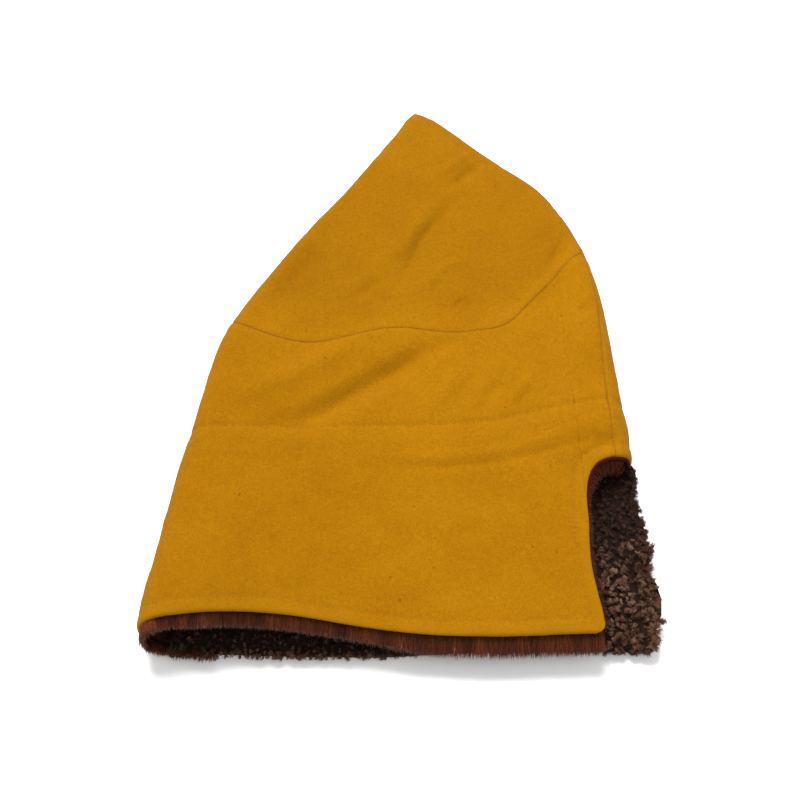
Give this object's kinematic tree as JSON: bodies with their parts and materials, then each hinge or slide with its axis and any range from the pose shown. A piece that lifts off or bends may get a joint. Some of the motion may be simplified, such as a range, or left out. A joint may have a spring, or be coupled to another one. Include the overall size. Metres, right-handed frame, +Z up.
{
  "type": "pointed wool hat with fur lining",
  "caption": "Pointed woollen winter hat with a fur-lined skirt and a round-topped notch at the brow, lying pressed flat on its side.",
  "frame": {"origin": "under the middle of the hat's outline, on the surface that it lies on", "axes": "+Y from the hem to the tip, +X towards the brow and the notch, +Z up through the hat's right side, as it lies on its left side"},
  "size_m": [0.333, 0.4594, 0.0437],
  "materials": {
    "yellow_wool": "matt fulled woollen cloth, ochre yellow, with a short nap",
    "brown_fur": "curly dark brown plush with straight reddish fibres at its edges",
    "maroon_cloth": "matt maroon cloth edging"
  },
  "bodies": {
    "root": {"crown_right": "yellow_wool", "crown_left": "yellow_wool", "skirt_right": "yellow_wool", "skirt_left": "yellow_wool", "fur_lining": "brown_fur", "notch_binding": "maroon_cloth"}
  },
  "joints": []
}
